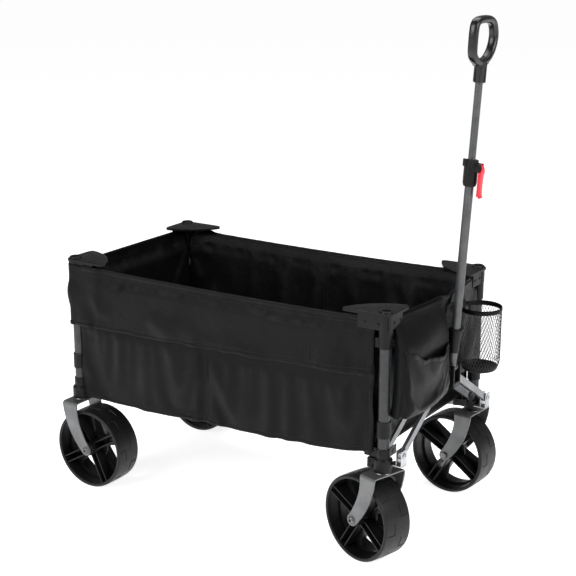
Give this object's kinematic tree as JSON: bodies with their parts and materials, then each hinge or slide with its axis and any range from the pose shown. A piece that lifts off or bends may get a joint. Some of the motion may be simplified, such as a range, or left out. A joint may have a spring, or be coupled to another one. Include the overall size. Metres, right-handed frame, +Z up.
{
  "type": "folding wagon with pull handle",
  "caption": "Folding four-wheel utility wagon with a black fabric tub, telescoping corner posts, wide openwork wheels, front casters and a telescoping pull handle.",
  "frame": {"origin": "on the floor, under the middle of the whole object's box", "axes": "+X towards the pull handle, +Y to the wagon's left, +Z up"},
  "size_m": [0.986, 0.5377, 1.1372],
  "materials": {
    "black_plastic": "satin moulded",
    "post_steel": "dark grey powder coat",
    "bar_steel": "grey satin paint",
    "slider_steel": "satin",
    "fork_steel": "gunmetal satin paint",
    "bolt_steel": "dark zinc",
    "wheel_plastic": "satin",
    "handle_steel": "grey satin paint",
    "grip_plastic": "soft satin",
    "lever_plastic": "glossy red",
    "tub_fabric": "black woven polyester",
    "mesh_fabric": "black open mesh"
  },
  "bodies": {
    "corner_rr": {"bracket_rr": "black_plastic", "post_rr": "post_steel", "fork_rr": "fork_steel", "axle_rr": "bolt_steel"},
    "top_rr": {"cap_rr": "black_plastic", "slider_tube_rr": "slider_steel", "side_panel_right": "tub_fabric", "rear_panel": "tub_fabric"},
    "wheel_rr": {"wheel_rr": "wheel_plastic"},
    "floor_arm_rr": {"floor_arm_rr": "bar_steel"},
    "rising_bar_rr": {"rising_bar_rr": "bar_steel"},
    "hanging_bar_rr": {"hanging_bar_rr": "bar_steel"},
    "end_bar_rr": {"end_bar_rr": "bar_steel"},
    "corner_rl": {"bracket_rl": "black_plastic", "post_rl": "post_steel", "fork_rl": "fork_steel", "axle_rl": "bolt_steel"},
    "top_rl": {"cap_rl": "black_plastic", "slider_tube_rl": "slider_steel", "side_panel_left": "tub_fabric"},
    "wheel_rl": {"wheel_rl": "wheel_plastic"},
    "floor_arm_rl": {"floor_arm_rl": "bar_steel"},
    "rising_bar_rl": {"rising_bar_rl": "bar_steel"},
    "hanging_bar_rl": {"hanging_bar_rl": "bar_steel"},
    "end_bar_rl": {"end_bar_rl": "bar_steel"},
    "corner_fr": {"bracket_fr": "black_plastic", "post_fr": "post_steel"},
    "top_fr": {"cap_fr": "black_plastic", "slider_tube_fr": "slider_steel", "front_panel": "tub_fabric"},
    "caster_fr": {"fork_fr": "fork_steel", "axle_fr": "bolt_steel"},
    "wheel_fr": {"wheel_fr": "wheel_plastic"},
    "floor_arm_fr": {"floor_arm_fr": "bar_steel"},
    "rising_bar_fr": {"rising_bar_fr": "bar_steel"},
    "hanging_bar_fr": {"hanging_bar_fr": "bar_steel"},
    "end_bar_fr": {"end_bar_fr": "bar_steel"},
    "corner_fl": {"bracket_fl": "black_plastic", "post_fl": "post_steel"},
    "top_fl": {"cap_fl": "black_plastic", "slider_tube_fl": "slider_steel", "cup_holder": "mesh_fabric"},
    "caster_fl": {"fork_fl": "fork_steel", "axle_fl": "bolt_steel"},
    "wheel_fl": {"wheel_fl": "wheel_plastic"},
    "floor_arm_fl": {"floor_arm_fl": "bar_steel"},
    "rising_bar_fl": {"rising_bar_fl": "bar_steel"},
    "hanging_bar_fl": {"hanging_bar_fl": "bar_steel"},
    "end_bar_fl": {"end_bar_fl": "bar_steel"},
    "floor_hub": {"floor_hub": "black_plastic"},
    "floor_board_right": {"floor_panel_right": "tub_fabric"},
    "floor_board_left": {"floor_panel_left": "tub_fabric"},
    "handle_link_right": {"handle_link_right": "bar_steel"},
    "handle_link_left": {"handle_link_left": "bar_steel"},
    "handle_base": {"handle_base": "black_plastic"},
    "handle_lower": {"handle_tube_lower": "handle_steel", "handle_clamp": "black_plastic"},
    "clamp_lever": {"clamp_lever": "lever_plastic"},
    "handle_upper": {"handle_tube_upper": "handle_steel", "handle_grip": "grip_plastic"}
  },
  "joints": [
    {"name": "fold", "type": "hinge", "parent": "corner_rr", "child": "floor_arm_rr", "pos_m": [-0.417, -0.192, 0.232], "axis": [0.4472, -0.8944, 0], "range_deg": [0, 74], "deforming": ["side_panel_right", "side_panel_left", "front_panel", "rear_panel", "floor_panel_right", "floor_panel_left", "cup_holder"]},
    {"name": "hub_level", "type": "hinge", "parent": "floor_arm_rr", "child": "floor_hub", "pos_m": [-0.069, -0.018, 0.232], "axis": [0.4472, -0.8944, 0], "range_deg": [-74, 0]},
    {"name": "arm_rl", "type": "hinge", "parent": "floor_hub", "child": "floor_arm_rl", "pos_m": [-0.069, 0.018, 0.232], "axis": [-0.4472, -0.8944, 0], "range_deg": [0, 74]},
    {"name": "corner_rl_upright", "type": "hinge", "parent": "floor_arm_rl", "child": "corner_rl", "pos_m": [-0.417, 0.192, 0.232], "axis": [-0.4472, -0.8944, 0], "range_deg": [-74, 0]},
    {"name": "arm_fr", "type": "hinge", "parent": "floor_hub", "child": "floor_arm_fr", "pos_m": [0.003, -0.018, 0.232], "axis": [0.4472, 0.8944, 0], "range_deg": [0, 74]},
    {"name": "corner_fr_upright", "type": "hinge", "parent": "floor_arm_fr", "child": "corner_fr", "pos_m": [0.351, -0.192, 0.232], "axis": [0.4472, 0.8944, 0], "range_deg": [-74, 0]},
    {"name": "arm_fl", "type": "hinge", "parent": "floor_hub", "child": "floor_arm_fl", "pos_m": [0.003, 0.018, 0.232], "axis": [-0.4472, 0.8944, 0], "range_deg": [0, 74]},
    {"name": "corner_fl_upright", "type": "hinge", "parent": "floor_arm_fl", "child": "corner_fl", "pos_m": [0.351, 0.192, 0.232], "axis": [-0.4472, 0.8944, 0], "range_deg": [-74, 0]},
    {"name": "post_slide_rr", "type": "slide", "parent": "corner_rr", "child": "top_rr", "axis": [0, 0, 1], "range_m": [0, 0.19329]},
    {"name": "rising_bar_turn_rr", "type": "hinge", "parent": "corner_rr", "child": "rising_bar_rr", "pos_m": [-0.417, -0.214, 0.25], "axis": [0, -1, 0], "range_deg": [0, 41.07]},
    {"name": "hanging_bar_turn_rr", "type": "hinge", "parent": "top_rr", "child": "hanging_bar_rr", "pos_m": [-0.417, -0.214, 0.49], "axis": [0, 1, 0], "range_deg": [0, 41.07]},
    {"name": "end_bar_turn_rr", "type": "hinge", "parent": "corner_rr", "child": "end_bar_rr", "pos_m": [-0.447, -0.192, 0.25], "axis": [1, 0, 0], "range_deg": [0, 41.07]},
    {"name": "post_slide_rl", "type": "slide", "parent": "corner_rl", "child": "top_rl", "axis": [0, 0, 1], "range_m": [0, 0.19329]},
    {"name": "rising_bar_turn_rl", "type": "hinge", "parent": "corner_rl", "child": "rising_bar_rl", "pos_m": [-0.417, 0.214, 0.25], "axis": [0, -1, 0], "range_deg": [0, 41.07]},
    {"name": "hanging_bar_turn_rl", "type": "hinge", "parent": "top_rl", "child": "hanging_bar_rl", "pos_m": [-0.417, 0.214, 0.49], "axis": [0, 1, 0], "range_deg": [0, 41.07]},
    {"name": "end_bar_turn_rl", "type": "hinge", "parent": "corner_rl", "child": "end_bar_rl", "pos_m": [-0.447, 0.192, 0.25], "axis": [-1, 0, 0], "range_deg": [0, 41.07]},
    {"name": "post_slide_fr", "type": "slide", "parent": "corner_fr", "child": "top_fr", "axis": [0, 0, 1], "range_m": [0, 0.19329]},
    {"name": "rising_bar_turn_fr", "type": "hinge", "parent": "corner_fr", "child": "rising_bar_fr", "pos_m": [0.351, -0.214, 0.25], "axis": [0, 1, 0], "range_deg": [0, 41.07]},
    {"name": "hanging_bar_turn_fr", "type": "hinge", "parent": "top_fr", "child": "hanging_bar_fr", "pos_m": [0.351, -0.214, 0.49], "axis": [0, -1, 0], "range_deg": [0, 41.07]},
    {"name": "end_bar_turn_fr", "type": "hinge", "parent": "corner_fr", "child": "end_bar_fr", "pos_m": [0.381, -0.192, 0.25], "axis": [1, 0, 0], "range_deg": [0, 41.07]},
    {"name": "post_slide_fl", "type": "slide", "parent": "corner_fl", "child": "top_fl", "axis": [0, 0, 1], "range_m": [0, 0.19329]},
    {"name": "rising_bar_turn_fl", "type": "hinge", "parent": "corner_fl", "child": "rising_bar_fl", "pos_m": [0.351, 0.214, 0.25], "axis": [0, 1, 0], "range_deg": [0, 41.07]},
    {"name": "hanging_bar_turn_fl", "type": "hinge", "parent": "top_fl", "child": "hanging_bar_fl", "pos_m": [0.351, 0.214, 0.49], "axis": [0, -1, 0], "range_deg": [0, 41.07]},
    {"name": "end_bar_turn_fl", "type": "hinge", "parent": "corner_fl", "child": "end_bar_fl", "pos_m": [0.381, 0.192, 0.25], "axis": [-1, 0, 0], "range_deg": [0, 41.07]},
    {"name": "link_turn_right", "type": "hinge", "parent": "corner_fr", "child": "handle_link_right", "pos_m": [0.417, -0.205, 0.25], "axis": [1, 0, 0], "range_deg": [0, 41.07]},
    {"name": "link_turn_left", "type": "hinge", "parent": "corner_fl", "child": "handle_link_left", "pos_m": [0.417, 0.205, 0.25], "axis": [-1, 0, 0], "range_deg": [0, 41.07]},
    {"name": "handle_base_level", "type": "hinge", "parent": "handle_link_right", "child": "handle_base", "pos_m": [0.417, -0.013, 0.37], "axis": [1, 0, 0], "range_deg": [-41.07, 0]},
    {"name": "floor_board_lift_right", "type": "hinge", "parent": "corner_rr", "child": "floor_board_right", "pos_m": [-0.033, -0.195, 0.249], "axis": [1, 0, 0], "range_deg": [0, 69.19]},
    {"name": "floor_board_lift_left", "type": "hinge", "parent": "corner_rl", "child": "floor_board_left", "pos_m": [-0.033, 0.195, 0.249], "axis": [-1, 0, 0], "range_deg": [0, 69.19]},
    {"name": "wheel_spin_rr", "type": "hinge", "parent": "corner_rr", "child": "wheel_rr", "pos_m": [-0.401, -0.217, 0.096], "axis": [0, 1, 0], "continuous": true},
    {"name": "wheel_spin_rl", "type": "hinge", "parent": "corner_rl", "child": "wheel_rl", "pos_m": [-0.401, 0.217, 0.096], "axis": [0, 1, 0], "continuous": true},
    {"name": "caster_swivel_fr", "type": "hinge", "parent": "corner_fr", "child": "caster_fr", "pos_m": [0.381, -0.217, 0.208], "axis": [0, 0, 1], "continuous": true},
    {"name": "wheel_spin_fr", "type": "hinge", "parent": "caster_fr", "child": "wheel_fr", "pos_m": [0.33701, -0.20355, 0.096], "axis": [0.2924, 0.9563, 0], "continuous": true},
    {"name": "caster_swivel_fl", "type": "hinge", "parent": "corner_fl", "child": "caster_fl", "pos_m": [0.381, 0.217, 0.208], "axis": [0, 0, 1], "continuous": true},
    {"name": "wheel_spin_fl", "type": "hinge", "parent": "caster_fl", "child": "wheel_fl", "pos_m": [0.33518, 0.22101, 0.096], "axis": [0.0872, 0.9962, 0], "continuous": true},
    {"name": "handle_pitch", "type": "hinge", "parent": "handle_base", "child": "handle_lower", "pos_m": [0.428, 0, 0.385], "axis": [0, 1, 0], "range_deg": [0, 95]},
    {"name": "handle_slide", "type": "slide", "parent": "handle_lower", "child": "handle_upper", "axis": [0.061, 0, 0.9981], "range_m": [-0.155, 0]},
    {"name": "clamp_lever_turn", "type": "hinge", "parent": "handle_lower", "child": "clamp_lever", "pos_m": [0.47407, 0, 0.82701], "axis": [0, -1, 0], "range_deg": [0, 100]}
  ],
  "couplings": [
    {"joint": "hub_level", "follows": "fold", "ratio": -1},
    {"joint": "arm_rl", "follows": "fold", "ratio": 1},
    {"joint": "corner_rl_upright", "follows": "fold", "ratio": -1},
    {"joint": "arm_fr", "follows": "fold", "ratio": 1},
    {"joint": "corner_fr_upright", "follows": "fold", "ratio": -1},
    {"joint": "arm_fl", "follows": "fold", "ratio": 1},
    {"joint": "corner_fl_upright", "follows": "fold", "ratio": -1},
    {"joint": "post_slide_rr", "follows": "fold", "m_per_rad": 0.14958},
    {"joint": "rising_bar_turn_rr", "follows": "fold", "ratio": 0.55483},
    {"joint": "hanging_bar_turn_rr", "follows": "fold", "ratio": 0.55483},
    {"joint": "end_bar_turn_rr", "follows": "fold", "ratio": 0.55483},
    {"joint": "post_slide_rl", "follows": "fold", "m_per_rad": 0.14958},
    {"joint": "rising_bar_turn_rl", "follows": "fold", "ratio": 0.55483},
    {"joint": "hanging_bar_turn_rl", "follows": "fold", "ratio": 0.55483},
    {"joint": "end_bar_turn_rl", "follows": "fold", "ratio": 0.55483},
    {"joint": "post_slide_fr", "follows": "fold", "m_per_rad": 0.14958},
    {"joint": "rising_bar_turn_fr", "follows": "fold", "ratio": 0.55483},
    {"joint": "hanging_bar_turn_fr", "follows": "fold", "ratio": 0.55483},
    {"joint": "end_bar_turn_fr", "follows": "fold", "ratio": 0.55483},
    {"joint": "post_slide_fl", "follows": "fold", "m_per_rad": 0.14958},
    {"joint": "rising_bar_turn_fl", "follows": "fold", "ratio": 0.55483},
    {"joint": "hanging_bar_turn_fl", "follows": "fold", "ratio": 0.55483},
    {"joint": "end_bar_turn_fl", "follows": "fold", "ratio": 0.55483},
    {"joint": "link_turn_right", "follows": "fold", "ratio": 0.55483},
    {"joint": "link_turn_left", "follows": "fold", "ratio": 0.55483},
    {"joint": "handle_base_level", "follows": "fold", "ratio": -0.55483},
    {"joint": "floor_board_lift_right", "follows": "fold", "ratio": 0.93484},
    {"joint": "floor_board_lift_left", "follows": "fold", "ratio": 0.93484}
  ]
}
